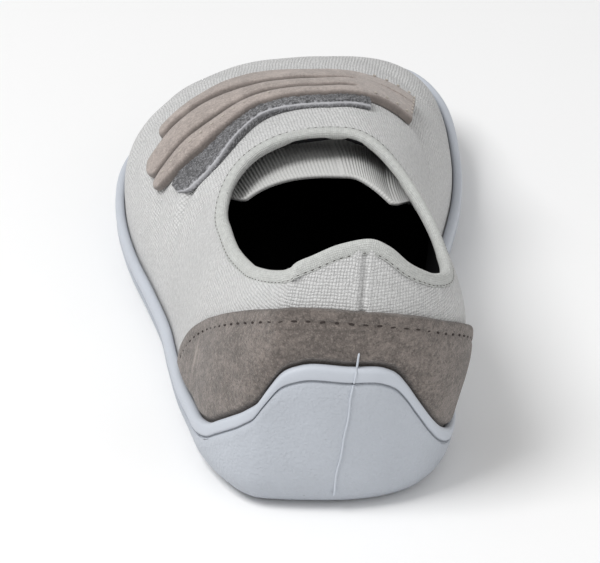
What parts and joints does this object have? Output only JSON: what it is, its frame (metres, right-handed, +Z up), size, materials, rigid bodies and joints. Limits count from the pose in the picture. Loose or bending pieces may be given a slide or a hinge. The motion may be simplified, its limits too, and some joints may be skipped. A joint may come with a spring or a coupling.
{
  "type": "child's barefoot shoe",
  "caption": "Low child's slip-on barefoot shoe, left foot: wide toe box, thin cup sole with heel wrap and wavy tread, canvas upper, suede heel counter and fingered hook-and-loop strap.",
  "frame": {"origin": "middle of the shoe's box on the floor it stands on", "axes": "+Y from the heel to the toe, +X to the inner side of the foot, +Z up"},
  "size_m": [0.0988, 0.2078, 0.0722],
  "materials": {
    "sole_rubber": "pale blue-grey moulded rubber, satin",
    "canvas": "light grey basket-weave canvas",
    "lining": "black textile lining",
    "counter_suede": "grey-brown suede",
    "elastic": "off-white ribbed elastic",
    "loop_pile": "dark grey loop pile",
    "strap_suede": "taupe suede"
  },
  "bodies": {
    "root": {"outsole": "sole_rubber", "upper": "canvas", "insole": "lining", "heel_counter": "counter_suede", "collar_binding": "canvas", "elastic_tongue": "elastic", "loop_pad": "loop_pile", "strap": "strap_suede"}
  },
  "joints": []
}
